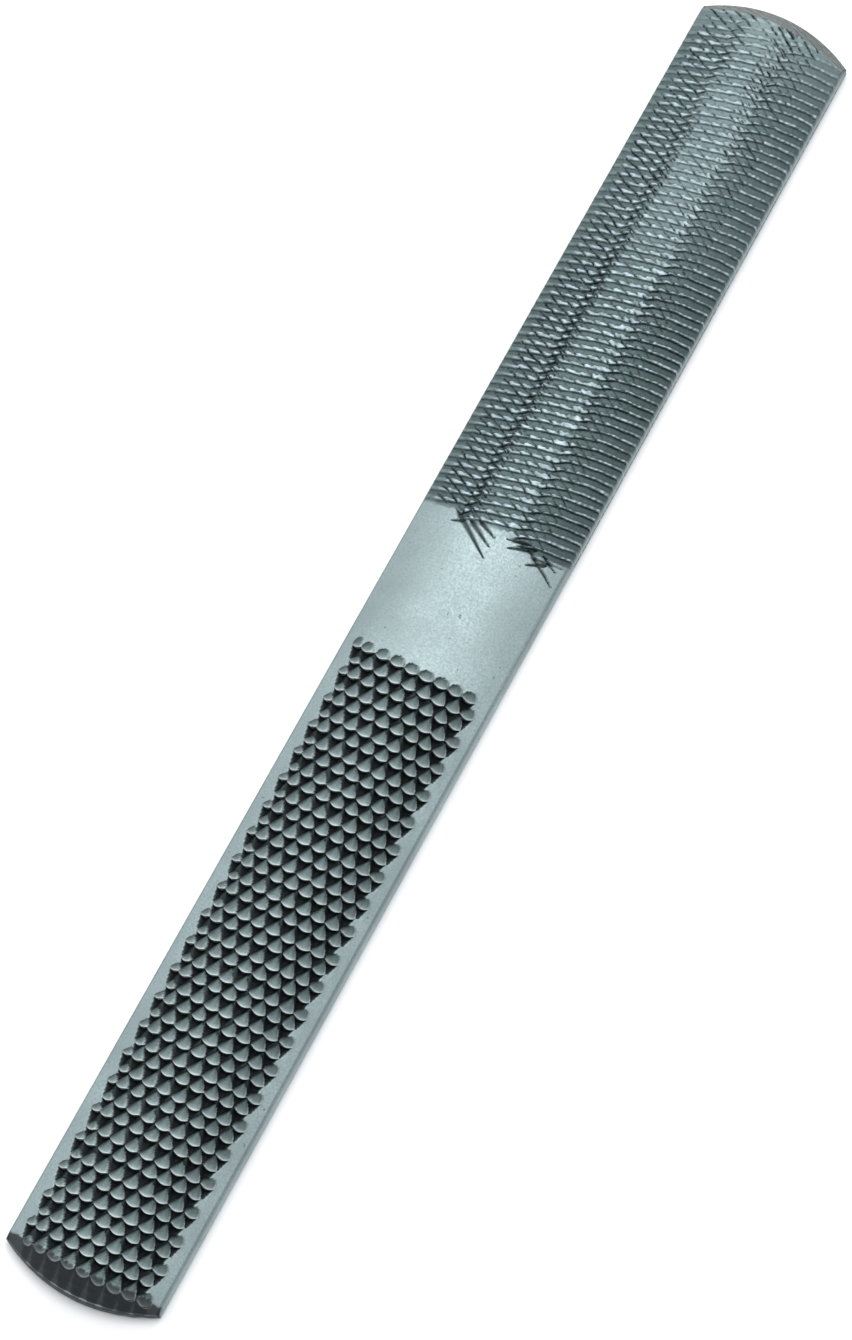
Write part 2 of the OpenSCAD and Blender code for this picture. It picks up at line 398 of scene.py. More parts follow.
class FileField:
    """Crossed chisel cuts between the band and the file end.

    The long cuts leave narrow lands. They look different from strip to strip, with two kinks
    where they are deep and dark. A second set of narrow cuts slants the other way and parts
    the lands.
    """

    PITCH = 1.345
    # Mesh lines from one long cut to the next
    STEPS = 9
    PHASE = 4 / STEPS
    # Height of the lands, and depth of a stray cut
    TOP = 0.16
    NEEDLE_DEPTH = 0.30
    # Where the long cuts slant more, as (low, high, soft, extra slope): the two kinks, and a
    # slight bend to the right of them
    KINKS = ((-4.9, -3.8, 0.2, 0.50), (3.1, 4.2, 0.2, 0.42), (5.0, 6.6, 0.5, 0.12))
    # The stretch of y over which the cuts grow softer and their painted shade fainter, and the
    # one over which the crossing cuts fade
    FAR = (48, 72)
    CROSSING_FADES = (74, 86)
    # The long cuts fade out from here on.
    FAR_END = 94.5
    # Even painted sheen on the crown towards the far end, in place of the lands' highlights
    CROWN_SHEEN = 0.34

    def __init__(self, seed, strips, crossings, needles, ends):
        self.seed = seed
        self.strips = strips
        self.crossings = crossings
        self.needles = needles
        # Where the cuts stop before the plain band, as a line of (s, y)
        self.ends = ends

    def slope(self, s):
        """The slant of the long cuts: it grows towards +X, and more so at the two kinks."""
        kinks = sum(extra * window(low, high, soft, s) for low, high, soft, extra in self.KINKS)
        return 0.06 + 0.18 * smooth(-6, -3.5, s) + 0.02 * smooth(2, 4.5, s) + kinks

    def rise(self, s):
        """How far a long cut has risen at s: the slope added up from the crown."""
        grid = np.linspace(-14, 14, 561)
        total = np.cumsum(self.slope(grid)) * (grid[1] - grid[0])
        total -= np.interp(0, grid, total)
        return np.interp(s, grid, total)

    def wobble(self, s, y):
        """How far a long cut strays from its line."""
        return 0.055 * ripple(s, y, 5.0, self.seed) + 0.03 * ripple(s, y, 1.9, self.seed + 2)

    def place(self, s, eta):
        """y on the bar for a place eta across the cuts."""
        y = eta + self.rise(s)
        return y + self.wobble(s, y)

    def cut_across(self, s, y):
        """eta for a place on the bar."""
        return y - self.rise(s) - self.wobble(s, y)

    def crossing_part(self, crossing, s, y):
        """Which crossing cut is nearest, and how far off it is, as a share of the spacing."""
        waver = 0.12 * ripple(s, y, 4.0, self.seed + 4) + 0.05 * ripple(s, y, 1.4, self.seed + 8)
        turn = (y - crossing.slope * s + waver) / crossing.spacing + crossing.phase
        count = np.floor(turn)
        return count, turn - count - 0.5

    def strips_at(self, s, count):
        """What the strips say at s, blended, as (depth, land, light, grime)."""
        total = 1e-6
        blend = np.zeros((4,) + s.shape)
        for k, strip in enumerate(self.strips):
            # Each long cut changes a little before or after its neighbours.
            low = strip.low + 0.35 * scatter(count, self.seed + 17, k)
            high = strip.high + 0.35 * scatter(count, self.seed + 19, k)
            weight = window(low, high, strip.soft, s)
            values = (strip.depth, strip.land, strip.light, strip.grime)
            blend = blend + np.array([weight * value for value in values])
            total = total + weight
        return blend / total

    def relief(self, s, y):
        """The relief, the lands' painted highlight, the cuts' painted shade and whether the
        surface is worked at all."""
        stop = np.interp(s, [p[0] for p in self.ends], [p[1] for p in self.ends])
        far = smooth(*self.FAR, y)
        # The last cuts are shallow, and more so towards the right.
        shallow = smooth(self.FAR_END - 9 + 0.4 * np.abs(s - 6), self.FAR_END + 1, y)
        relief, light, dark = self.long_cuts(s, y, stop, far, shallow)
        light = light * self.highlight_share(s, y)
        # The crossing cuts add painted shade and break up the lands' painted highlight.
        for k, crossing in enumerate(self.crossings):
            cut, mark = self.crossing_cut(crossing, k, s, y, stop)
            dark = np.maximum(dark, mark)
            light = light * (1 - mark)
            relief = np.minimum(relief, cut)
        # Past the last cuts the surface goes back to the plain band's height.
        level = smooth(-0.8, 0.4, y - stop)
        relief = relief - self.TOP * (1 - level)
        # Towards the far end the crown's lands lose their separate painted highlights to an even
        # painted sheen.
        even_sheen = 0.5 * far * (1 - 0.6 * shallow) * window(-3.0, 2.2, 3.0, s)
        light = (light * (1 - even_sheen) + self.CROWN_SHEEN * even_sheen) * level * (1 + 0.10 * far)
        light = light * (1 - 0.55 * shallow)
        # The stray cuts get painted shade and lose the painted highlight.
        for needle in self.needles:
            cut = self.needle_cut(needle, s, y)
            relief = relief - self.NEEDLE_DEPTH * cut
            dark = np.maximum(dark, 0.85 * smooth(0.15, 0.8, cut))
            light = light * (1 - cut)
        return relief, light, dark, level * (1 - 0.25 * shallow)

    def swell(self, s, y):
        """How the lands swell between the crossing cuts."""
        swell = np.zeros_like(s)
        for crossing in self.crossings:
            _, part = self.crossing_part(crossing, s, y)
            inside = window(crossing.low, crossing.high, crossing.soft, s)
            swell = swell - inside * np.cos(2 * math.pi * (part + 0.1))
        return swell

    def long_cuts(self, s, y, stop, far, shallow):
        """The relief of the long cuts alone, which stop at y = stop, the lands' painted
        highlight and the cuts' painted shade."""
        turn = self.cut_across(s, y) / self.PITCH + self.PHASE
        count = np.floor(turn)
        step = (turn - count) * self.STEPS
        depth, land, bright, grime = self.strips_at(s, count)
        fade = smooth(-0.9, 0.3, y - stop - 0.35 * scatter(count, self.seed + 11))
        fade = fade * (1 - 0.85 * smooth(self.FAR_END, self.FAR_END + 4, y))
        deep = depth * (1 + 0.15 * scatter(count, self.seed)) * (1 - 0.2 * far)
        deep = deep * fade * (1 - 0.35 * shallow)
        # Towards +Y: a steep face, the land, a short fall and the floor of the next cut.
        land = land + 0.75 * self.swell(s, y) + 0.4 * scatter(count, self.seed + 13)
        beyond = step - land
        shape = np.where(step < 1, step - 1, -0.85 * smooth(0, 1.3, beyond))
        shape = shape - 0.15 * smooth(5, 9, step)
        # Painted highlight on the lands, and painted shade on the cut walls and floors.
        light = bright * smooth(0.3, 1, step) * (1 - smooth(0, 0.9, beyond))
        light = light * (0.85 + 0.15 * scatter(count, 7))
        wall = 1 - smooth(0.3, 1.2, step) + smooth(7.8, 8.8, step) + 0.5 * smooth(0, 1, beyond)
        dark = grime * wall * smooth(0.05, 0.2, deep) * (1 - 0.4 * far)
        return self.TOP + deep * shape, light, dark

    def highlight_share(self, s, y):
        """How much of the lands' painted highlight is left: it runs in streaks along the cuts,
        is fainter in some places than in others, and is broken up on the right."""
        streaks = ripple(0.22 * s, y, 0.36, self.seed + 21)
        patches = ripple(s, 0.6 * y, 1.7, self.seed + 23)
        broken = np.clip(0.7 + 0.9 * ripple(s, 0.5 * y, 0.8, self.seed + 25), 0.1, 1.2)
        left = (0.85 + 0.40 * streaks) * np.clip(0.9 + 0.65 * patches, 0.1, 1.15)
        return left * (1 + smooth(4.5, 6.5, s) * (broken - 1))

    def crossing_cut(self, crossing, kind, s, y, stop):
        """The relief of one set of crossing cuts alone, and their painted shade."""
        count, part = self.crossing_part(crossing, s, y)
        uneven = 1 + 0.3 * scatter(count, self.seed + 6, kind)
        deep = crossing.depth * window(crossing.low, crossing.high, crossing.soft, s) * uneven
        deep = deep * smooth(-0.5, 0.6, y - stop)
        deep = deep * (0.75 + 0.4 * ripple(s, y, 1.1, self.seed + 9))
        deep = deep * (1 - crossing.fades * smooth(*self.CROSSING_FADES, y))
        gone = part / crossing.width
        groove = np.clip(np.where(part > 0, 1 - gone, 1 + gone / 0.45), 0, 1)
        return self.TOP - deep * groove, smooth(0.15, 0.7, groove) * smooth(0.03, 0.3, deep)

    def needle_cut(self, needle, s, y):
        """1 in the middle of a stray cut, which narrows to its tip, and 0 beside it."""
        along_s = needle.tip[0] - needle.root[0]
        along_y = needle.tip[1] - needle.root[1]
        length = math.hypot(along_s, along_y)
        from_s = s - needle.root[0]
        from_y = y - needle.root[1]
        t = (from_s * along_s + from_y * along_y) / length ** 2
        off = np.abs(from_s * along_y - from_y * along_s) / length
        half = 0.5 * needle.width * np.clip(1.05 - t, 0, 1) * smooth(-0.25, 0.0, t) + 0.07
        return np.where((t > -0.25) & (t < 1), np.clip(1.6 * (1 - off / half), 0, 1), 0)

    def lines(self, s, x, start):
        """The mesh lines along the cuts, from the seam at y = start to the bar's end, as lists
        of (y, relief, light, dark, worked) arrays."""
        end = end_arc(x)
        gap = self.PITCH / self.STEPS
        # Enough lines to reach the seam and the bar's end in every column
        low = math.floor((start + 0.4 - self.rise(s).max()) / gap)
        high = math.ceil((HALF_LENGTH + 0.5 - self.rise(s).min()) / gap)
        rows = []
        for k in range(low, high + 1):
            rows.append(self.place(s, k * gap))
        stack = np.array(rows)
        # Lines past the seam or past the bar's end are gathered in there.
        stack = squeeze(stack, start, end)
        out = []
        for y in stack:
            out.append((y,) + self.relief(s, y))
        return out


def squeeze(stack, start, end):
    """Fits a stack of lines between start and end: what is past either is pressed together
    over the last stretch, evenly, so that the lines never cross."""
    reach_low = 2.6
    reach_high = 3.2
    low = stack[0]
    limit = start + reach_low
    t = np.clip((stack - low) / np.maximum(limit - low, 1e-6), 0, 1)
    stack = np.where(stack < limit, start + (limit - start) * t, stack)
    high = stack[-1]
    limit = end - reach_high
    t = np.clip((stack - limit) / np.maximum(high - limit, 1e-6), 0, 1)
    return np.where(stack > limit, limit + (end - limit) * t, stack)


# ---------------------------------------------------------------- meshes
SHARP_ANGLE = math.radians(38)
# Points closer than this are one point, in metres.
WELD = 1e-7
# Points closer than this to an end's arc are on its wall.
WALL_TOLERANCE = 0.01
RIM_SHADE = 0.42


def grid_quads(rows, columns):
    """Quads of a grid whose rows run towards +Y and columns towards +X, facing +Z."""
    index = np.arange(rows * columns).reshape(rows, columns)
    quads = [index[:-1, :-1], index[:-1, 1:], index[1:, 1:], index[1:, :-1]]
    return np.stack([q.ravel() for q in quads], -1).tolist()


def ring_of(rows, columns):
    """The grid's outline, anticlockwise seen from +Z, and the four corners' places in it."""
    index = np.arange(rows * columns).reshape(rows, columns)
    ring = list(index[0, :-1]) + list(index[:-1, -1])
    ring += list(index[-1, :0:-1]) + list(index[:0:-1, 0])
    corners = [0, columns - 1, columns - 1 + rows - 1, 2 * (columns - 1) + rows - 1]
    return ring, corners


def closed_face(top, base_z, hollow=None):
    """A closed solid from a grid of points, walls down to base_z and a flat underside. hollow
    is (y from, y to, points (x, z) of a groove's section), a groove left open in the
    underside for the core."""
    rows, columns = top.shape[:2]
    points = top.reshape(-1, 3).tolist()
    faces = grid_quads(rows, columns)
    ring, corners = ring_of(rows, columns)
    base = len(points)
    left = set(np.arange(rows) * columns)
    right = set(np.arange(rows) * columns + columns - 1)
    last_row = rows - 1
    for i in ring:
        x, y, _ = points[i]
        if i in left:
            x = -float(side_x(base_z))
        if i in right:
            x = float(side_x(base_z))
        if i // columns in (0, last_row) and abs(y) > HALF_LENGTH - 2 * END_BOW:
            y = math.copysign(float(end_arc(x)), y)
        points.append([x, y, base_z])
    count = len(ring)
    for k in range(count):
        n = (k + 1) % count
        faces.append([ring[k], base + k, base + n, ring[n]])
    under = list(range(base, base + count))
    if hollow is None:
        faces.append(under[::-1])
    else:
        close_around(hollow, points, faces, under, corners)
    return points, faces


def close_around(hollow, points, faces, under, corners):
    """Adds the underside around a hollow, and the hollow's own faces. under is the underside's
    outline and corners the places of its corners in it."""
    y_from, y_to, section = hollow
    near = len(points)
    points += [[x, y_from, z] for x, z in section]
    far = len(points)
    points += [[x, y_to, z] for x, z in section]
    last = len(section) - 1
    spans = [
        (under[corners[0]:corners[1] + 1], [near + last, near]),
        (under[corners[1]:corners[2] + 1], [far + last, near + last]),
        (under[corners[2]:corners[3] + 1], [far, far + last]),
        (under[corners[3]:] + [under[corners[0]]], [near, far]),
    ]
    for outer, inner in spans:
        faces.append((outer + inner)[::-1])
    for k in range(last):
        faces.append([near + k, far + k, far + k + 1, near + k + 1])
    faces.append([near + k for k in range(last + 1)])
    faces.append([far + k for k in range(last, -1, -1)])


def make_object(name, mesh):
    """An object around a mesh, smooth but for the edges sharper than SHARP_ANGLE."""
    mesh.validate()
    mesh.shade_smooth()
    mesh.set_sharp_from_angle(angle=SHARP_ANGLE)
    piece = bpy.data.objects.new(name, mesh)
    bpy.context.scene.collection.objects.link(piece)
    return piece


def make_face(name, points, faces):
    mesh = bpy.data.meshes.new(name)
    mesh.from_pydata((np.array(points) * MM).tolist(), [], faces)
    return make_object(name, mesh)


def paint(piece, name, values):
    """Stores a value from 0 to 1 on each of the first vertices. The rest get 0."""
    layer = piece.data.color_attributes.new(name=name, type="FLOAT_COLOR", domain="POINT")
    data = np.zeros((len(piece.data.vertices), 4), np.float32)
    flat = np.clip(values.ravel(), 0, 1)
    data[: len(flat), :3] = flat[:, None]
    data[:, 3] = 1
    layer.data.foreach_set("color", data.ravel())


def columns_across(half, fine, step_fine):
    """Places across the bar: fine steps out to a distance, and coarse ones to the edges."""
    inner = np.linspace(-fine, fine, 2 * round(fine / step_fine) + 1)
    shares = np.array([0.36, 0.62, 0.82, 0.93, 1.0])
    outer = fine + (half - CHAMFER_WIDTH - fine) * shares
    right = np.append(outer, half)
    return np.concatenate([-right[::-1], inner, right])


def paint_all(piece, painted_shade, painted_highlight, ground, toothed):
    """Stores what the material needs: the painted shade, the painted highlights, the ground
    bevels and end walls, and the toothed surface."""
    paint(piece, "painted_shade", painted_shade)
    paint(piece, "painted_highlight", painted_highlight)
    paint(piece, "ground", ground)
    paint(piece, "toothed", toothed)
    paint_end_wall(piece)


def paint_end_wall(piece):
    """Marks the points of a piece that are on the bar's end walls as ground."""
    layer = piece.data.color_attributes["ground"]
    data = np.zeros(len(piece.data.vertices) * 4, np.float32)
    layer.data.foreach_get("color", data)
    places = np.array([vertex.co for vertex in piece.data.vertices]) / MM
    on_wall = np.abs(places[:, 1]) > end_arc(places[:, 0]) - WALL_TOLERANCE
    data = data.reshape(-1, 4)
    data[on_wall, :3] = 1
    layer.data.foreach_set("color", data.ravel())


def rim_shade(s):
    """How dark the painted shade line along both edges of the rounded side is."""
    return RIM_SHADE * smooth(HALF_ARC - 0.30, HALF_ARC - 0.12, np.abs(s))


def stacked_lines(field, s, x, start):
    """The field's mesh lines as five grids, with y rising from row to row."""
    lines = field.lines(s, x, start)
    if lines[0][0][0] > lines[-1][0][0]:
        lines = lines[::-1]
    return [np.array(grid) for grid in zip(*lines)]


def round_face(name, field, start, bevel, s):
    """A toothed face on the rounded side, with its columns at s, as a shell over the core."""
    theta = s / DOME_R
    x = DOME_R * np.sin(theta)
    y, relief, shine, dark, toothed = stacked_lines(field, s, x, start)
    # The surface is slightly uneven, but not at the seam.
    uneven = 0.010 * ripple(s[None, :], y, 0.9, 3) + 0.016 * ripple(s[None, :], y, 7, 5)
    relief = relief + uneven * smooth(0.3, 2.0, np.abs(y - start))
    radius = DOME_R + relief
    px = radius * np.sin(theta)[None, :]
    pz = DOME_Z + radius * np.cos(theta)[None, :]
    ground = bevel_height(px, y, bevel)
    sunk = ground < pz
    cut = pz - ground
    pz = np.minimum(pz, ground)
    # The outermost columns stay on the side edges, a small chamfer below the corner.
    for column, side in ((0, -1), (-1, 1)):
        corner = CORNER_Z - CHAMFER + np.minimum(relief[:, column], 0)
        corner = np.minimum(corner, ground[:, column])
        pz[:, column] = corner
        px[:, column] = side * side_x(corner)
    top = np.stack([px, y, pz], -1)
    direction = 1 if start > 0 else -1
    y_from, y_to = sorted([start + direction * RIDGE_INSET, direction * CORE_END])
    points, faces = closed_face(top, CUT_HIGH, (y_from, y_to, core_section()))
    piece = make_face(name, points, faces)
    # The bevel is ground through the teeth: their painted shade and painted highlights are
    # weaker there, and the outline of a cut tooth gets a painted highlight.
    painted_shade = np.maximum(np.where(sunk, 0.6 * dark, dark), rim_shade(s)[None, :])
    outline = window(0.02, 0.07, 0.05, cut) * smooth(0.03, 0.1, relief)
    painted_highlight = np.where(sunk, np.maximum(0.4 * shine, 0.45 * outline), shine)
    if start < 0:
        # The rasp end's bevel gets a painted highlight along its lower edge, on the second mesh
        # line.
        painted_highlight[1] = 0.45 + 0.25 * ripple(s, 0 * s, 6.0, 9)
    paint_all(piece, painted_shade, painted_highlight, sunk.astype(float), toothed)
    return piece


def flat_face(name, field, start, s):
    """A toothed face on the flat side, with its columns at x = s, as a slab under the core."""
    y, relief, shine, dark, toothed = stacked_lines(field, s, s, start)
    pz = FLAT_Z - relief
    pz[:, 0] = FLAT_Z + CHAMFER
    pz[:, -1] = FLAT_Z + CHAMFER
    px = np.broadcast_to(s[None, :], y.shape)
    # The face is made upside down and turned over, so that its quads face outwards.
    top = np.stack([px, y, 2 * CUT_LOW - pz], -1)
    points, faces = closed_face(top, CUT_LOW)
    turned = [[x, y, 2 * CUT_LOW - z] for x, y, z in points]
    flipped = [face[::-1] for face in faces]
    piece = make_face(name, turned, flipped)
    # Painted shade in the cuts and pits, and painted highlights on the lands and the petals'
    # edges.
    paint_all(piece, dark, shine, np.zeros_like(shine), toothed)
    return piece


def core_section():
    """The section of the core's back, which the rounded faces lie over, as (x, z)."""
    out = []
    inner = DOME_R - SHELL
    for s in np.linspace(-CORE_HALF_ARC, CORE_HALF_ARC, CORE_FACETS + 1):
        out.append((inner * math.sin(s / DOME_R), DOME_Z + inner * math.cos(s / DOME_R)))
    return [(out[0][0], CUT_HIGH)] + out + [(out[-1][0], CUT_HIGH)]


def core_ring(kind):
    """The bar's section in the plain band ("band") or between the toothed faces ("core"), as
    matching lists of (x, z) along its back and its flat side."""
    back = []
    for s in np.linspace(-HALF_ARC, HALF_ARC, BACK_POINTS):
        x = DOME_R * math.sin(s / DOME_R)
        back.append([x, DOME_Z + DOME_R * math.cos(s / DOME_R)])
    back[0] = [-float(side_x(CORNER_Z - CHAMFER)), CORNER_Z - CHAMFER]
    back[-1] = [float(side_x(CORNER_Z - CHAMFER)), CORNER_Z - CHAMFER]
    front = [[x, FLAT_Z] for x, _ in back]
    front[0] = [-HALF_WIDTH, FLAT_Z + CHAMFER]
    front[-1] = [HALF_WIDTH, FLAT_Z + CHAMFER]
    front[1][0] = -HALF_WIDTH + CHAMFER_WIDTH
    front[-2][0] = HALF_WIDTH - CHAMFER_WIDTH
    if kind == "band":
        return back, front
    for chain, z in ((back, CUT_HIGH), (front, CUT_LOW)):
        for point in chain:
            point[1] = z
        chain[0][0] = -float(side_x(z))
        chain[-1][0] = float(side_x(z))
    return back, front


def make_core():
    """The bar between the toothed faces: the plain band's whole section, and a thinner core
    that runs to both ends."""
    mesh = bmesh.new()

    def ring(kind, y_of):
        back, front = core_ring(kind)
        low = [mesh.verts.new((x * MM, y_of(x) * MM, z * MM)) for x, z in front]
        high = [mesh.verts.new((x * MM, y_of(x) * MM, z * MM)) for x, z in back]
        return low + high[::-1]

    def at(y):
        return lambda x: y

    stations = [
        ring("core", lambda x: -float(end_arc(x))),
        ring("core", at(-CORE_END)),
        ring("core", at(RASP_SEAM)),
        ring("band", at(RASP_SEAM)),
        ring("band", at((RASP_SEAM + FILE_SEAM) / 2)),
        ring("band", at(FILE_SEAM)),
        ring("core", at(FILE_SEAM)),
        ring("core", at(CORE_END)),
        ring("core", lambda x: float(end_arc(x))),
    ]
    size = len(stations[0])
    for near, far in zip(stations[:-1], stations[1:]):
        for k in range(size):
            n = (k + 1) % size
            mesh.faces.new([near[k], near[n], far[n], far[k]])
    half = size // 2
    for station in (stations[0], stations[-1]):
        for k in range(half - 1):
            quad = [station[k], station[k + 1], station[size - 2 - k], station[size - 1 - k]]
            mesh.faces.new(quad)
    bmesh.ops.remove_doubles(mesh, verts=mesh.verts, dist=WELD)
    bmesh.ops.dissolve_degenerate(mesh, edges=mesh.edges, dist=WELD)
    add_ridges(mesh)
    bmesh.ops.recalc_face_normals(mesh, faces=mesh.faces)
    data = bpy.data.meshes.new("bar")
    mesh.to_mesh(data)
    mesh.free()
    piece = make_object("bar", data)
    places = np.array([vertex.co for vertex in data.vertices]) / MM
    s = DOME_R * np.arcsin(np.clip(places[:, 0] / DOME_R, -1, 1))
    on_back = places[:, 2] > CORNER_Z - 2 * CHAMFER
    nothing = np.zeros(1)
    # The bar's only painted shade is the line along both edges of the rounded side.
    paint_all(piece, rim_shade(s) * on_back, nothing, nothing, nothing)
    return piece


def add_ridges(mesh):
    """The core's two backs, each a closed prism that stands on the core's flat top and fills
    the groove in the face above it."""
    section = core_section()
    stretches = ((-CORE_END, RASP_SEAM - RIDGE_INSET), (FILE_SEAM + RIDGE_INSET, CORE_END))
    for start, end in stretches:
        near = [mesh.verts.new((x * MM, start * MM, z * MM)) for x, z in section]
        far = [mesh.verts.new((x * MM, end * MM, z * MM)) for x, z in section]
        count = len(section)
        for k in range(count):
            n = (k + 1) % count
            mesh.faces.new([near[k], near[n], far[n], far[k]])
        mesh.faces.new(near)
        mesh.faces.new(far)


# ---------------------------------------------------------------- materials
class Shader:
    """Small helpers that add nodes to one material."""

    def __init__(self, name):
        self.material = bpy.data.materials.new(name)
        self.material.use_nodes = True
        self.tree = self.material.node_tree
        self.bsdf = self.tree.nodes["Principled BSDF"]
        self.place = self.tree.nodes.new("ShaderNodeTexCoord").outputs["Object"]

    def link(self, output, socket):
        self.tree.links.new(output, socket)

    def noise(self, size_mm, detail, rough):
        """Noise with grains of about size_mm."""
        return self.noise_over(self.place, 1.0 / (size_mm * MM), detail, rough)

    def streaks(self, waves_per_metre):
        """Noise that is drawn out, with a number of waves to the metre along each axis."""
        node = self.tree.nodes.new("ShaderNodeMapping")
        node.inputs["Scale"].default_value = waves_per_metre
        self.link(self.place, node.inputs["Vector"])
        return self.noise_over(node.outputs["Vector"], 1.0, 3.0, 0.6)

    def noise_over(self, vector, scale, detail, rough):
        node = self.tree.nodes.new("ShaderNodeTexNoise")
        node.inputs["Scale"].default_value = scale
        node.inputs["Detail"].default_value = detail
        node.inputs["Roughness"].default_value = rough
        self.link(vector, node.inputs["Vector"])
        return node.outputs["Fac"]

    def attribute(self, name):
        node = self.tree.nodes.new("ShaderNodeAttribute")
        node.attribute_name = name
        return node.outputs["Fac"]

    def remap(self, value, from_low, from_high, to_low, to_high):
        node = self.tree.nodes.new("ShaderNodeMapRange")
        node.inputs["From Min"].default_value = from_low
        node.inputs["From Max"].default_value = from_high
        node.inputs["To Min"].default_value = to_low
        node.inputs["To Max"].default_value = to_high
        self.link(value, node.inputs["Value"])
        return node.outputs["Result"]

    def mix(self, factor, first, second):
        """Mixes two colours, each a tuple or an output, by an output from 0 to 1."""
        node = self.tree.nodes.new("ShaderNodeMix")
        node.data_type = "RGBA"
        self.link(factor, node.inputs["Factor"])
        for socket, value in ((node.inputs[6], first), (node.inputs[7], second)):
            if isinstance(value, tuple):
                socket.default_value = value + (1.0,)
            else:
                self.link(value, socket)
        return node.outputs[2]

    def bump(self, height, distance_mm, before=None):
        node = self.tree.nodes.new("ShaderNodeBump")
        node.inputs["Distance"].default_value = distance_mm * MM
        self.link(height, node.inputs["Height"])
        if before:
            self.link(before, node.inputs["Normal"])
        return node.outputs["Normal"]


def scaled(colour, factor):
    return tuple(min(1.0, c * factor) for c in colour)


def steel(name, plain, tooth, painted_shade, painted_highlight, ground):
    """Hardened steel: a blasted plain surface, and teeth with painted shade in the pits and
    painted highlights on the edges.
    """
    shader = Shader(name)
    clouds = shader.noise(9.0, 3.0, 0.5)
    tint = shader.noise(2.2, 1.0, 0.5)
    specks = shader.noise(0.75, 1.0, 0.5)
    fine = shader.noise(0.6, 3.0, 0.6)
    grain = shader.noise(0.30, 2.0, 0.7)
    grit = shader.noise(0.16, 1.0, 0.5)
    along_bar = shader.streaks((2600, 180, 2600))
    across_bar = shader.streaks((320, 4200, 320))

    # The plain surface: clouds, faint streaks, blasted grain and a few dark specks
    dark = scaled(plain, 0.86)
    base = shader.mix(shader.remap(clouds, 0.35, 0.65, 0, 1), dark, scaled(plain, 1.10))
    base = shader.mix(shader.remap(along_bar, 0.45, 0.75, 0, 0.25), base, dark)
    base = shader.mix(shader.remap(grain, 0.35, 0.65, 0, 0.8), base, scaled(plain, 0.78))
    base = shader.mix(shader.remap(specks, 0.735, 0.78, 0, 0.6), base, SPECK)

    # The toothed surface: greener in places, with a fine dark grit
    greener = (tooth[0] * 1.15, tooth[1] * 1.4, tooth[2] * 1.25)
    teeth = shader.mix(shader.remap(tint, 0.4, 0.6, 0, 1), scaled(tooth, 1.35), greener)
    teeth = shader.mix(shader.remap(fine, 0.35, 0.7, 0, 0.6), tooth, teeth)
    teeth = shader.mix(shader.remap(grit, 0.4, 0.65, 0, 0.7), teeth, scaled(tooth, 0.6))
    base = shader.mix(shader.attribute("toothed"), base, teeth)

    # The ground bevels, scratched across, then the painted highlights and the painted shade
    scratched = shader.remap(across_bar, 0.35, 0.65, 0, 1)
    ground_steel = shader.mix(scratched, ground, scaled(ground, 1.45))
    base = shader.mix(shader.attribute("ground"), base, ground_steel)
    base = shader.mix(shader.attribute("painted_highlight"), base, painted_highlight)
    base = shader.mix(shader.attribute("painted_shade"), base, painted_shade)

    shader.link(base, shader.bsdf.inputs["Base Color"])
    rough = shader.remap(grain, 0.3, 0.7, 0.52, 0.66)
    shader.link(rough, shader.bsdf.inputs["Roughness"])
    metal = shader.remap(shader.attribute("painted_shade"), 0, 1, 0.6, 1.0)
    shader.link(metal, shader.bsdf.inputs["Metallic"])
    normal = shader.bump(grain, 0.012)
    normal = shader.bump(fine, 0.02, normal)
    shader.link(normal, shader.bsdf.inputs["Normal"])
    return shader.material


SPECK = (0.10, 0.11, 0.11)
BAND_COLOUR = (0.36, 0.45, 0.46)
# Colours of the painted highlights: on the file's lands, and on the rasp's petal edges.
LAND_HIGHLIGHT = (0.50, 0.61, 0.655)
LIP_HIGHLIGHT = (0.50, 0.57, 0.57)
bar_steel = steel(
    "bar_steel", plain=BAND_COLOUR, tooth=BAND_COLOUR, painted_shade=(0.03, 0.03, 0.03), painted_highlight=LAND_HIGHLIGHT,
    ground=(0.06, 0.07, 0.07))
file_steel = steel(
    "file_steel", plain=BAND_COLOUR, tooth=(0.13, 0.18, 0.185), painted_shade=(0.012, 0.018, 0.02),
    painted_highlight=LAND_HIGHLIGHT, ground=(0.10, 0.115, 0.105))
rasp_steel = steel(
    "rasp_steel", plain=BAND_COLOUR, tooth=(0.145, 0.20, 0.205), painted_shade=(0.012, 0.015, 0.016),
    painted_highlight=LIP_HIGHLIGHT, ground=(0.03, 0.036, 0.038))


# ---------------------------------------------------------------- pieces
# The columns of the faces' meshes are this far apart, out to this distance from the middle.
ROUND_STEP = 0.156
ROUND_FINE = 10.5
FLAT_STEP = 0.2
FLAT_FINE = 10.2
quick_factor = 1.0
round_columns = columns_across(HALF_ARC, ROUND_FINE, ROUND_STEP * quick_factor)
flat_columns = columns_across(HALF_WIDTH, FLAT_FINE, FLAT_STEP * quick_factor)

